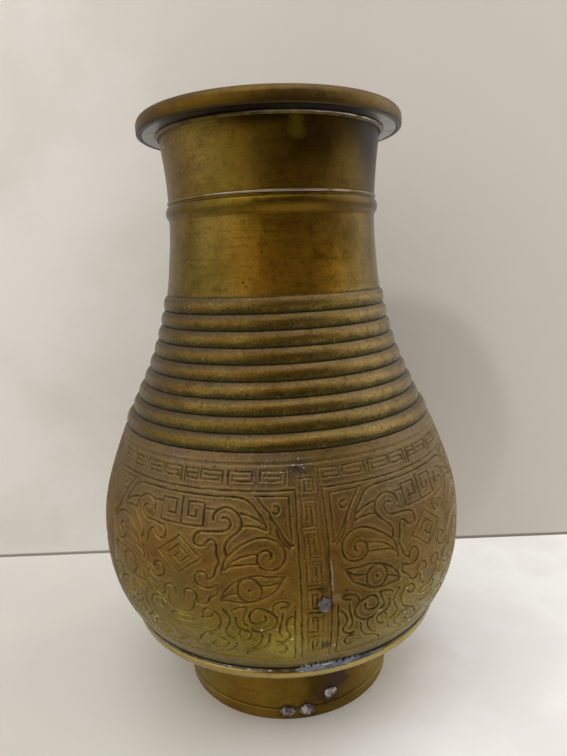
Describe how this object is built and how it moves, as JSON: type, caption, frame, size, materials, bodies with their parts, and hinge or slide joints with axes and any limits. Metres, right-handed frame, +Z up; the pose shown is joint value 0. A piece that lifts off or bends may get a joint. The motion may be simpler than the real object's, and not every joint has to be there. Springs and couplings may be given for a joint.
{
  "type": "brass vase",
  "caption": "Round-bellied brass vase on a flared foot, with a ribbed shoulder, beaded neck and wide rounded lip, to stand on a surface and hold flowers.",
  "frame": {"origin": "centre of the ring that the foot stands on, at the height of the table", "axes": "+Z up along the vase's axis, -Y is the front that the picture shows, +X to its right"},
  "size_m": [0.1542, 0.1543, 0.24],
  "materials": {
    "foot_brass": "aged, half polished",
    "belly_brass": "aged, matte brown patina",
    "shoulder_brass": "aged, brown with greenish grooves",
    "neck_brass": "aged, half polished",
    "lip_brass": "aged, rubbed brown",
    "hidden_brass": "dull, unpolished",
    "tinned_plate": "dull grey tin",
    "solder": "dull grey solder"
  },
  "bodies": {
    "root": {"foot": "foot_brass", "foot_band": "foot_brass", "base_plate": "hidden_brass", "base_plate_solder": "solder", "belly": "belly_brass", "belly_seam_solder": "solder", "ribbed_shoulder": "shoulder_brass", "shoulder_joint_solder": "solder", "upper_neck": "neck_brass", "neck_joint_solder": "solder", "lip_rim": "lip_brass", "lip_underplate": "tinned_plate", "lip_solder_fillet": "solder", "seam_solder_lump": "solder", "band_solder_left": "solder", "band_solder_right": "solder", "foot_wall_solder": "solder", "belly_solder_splash": "solder"}
  },
  "joints": []
}
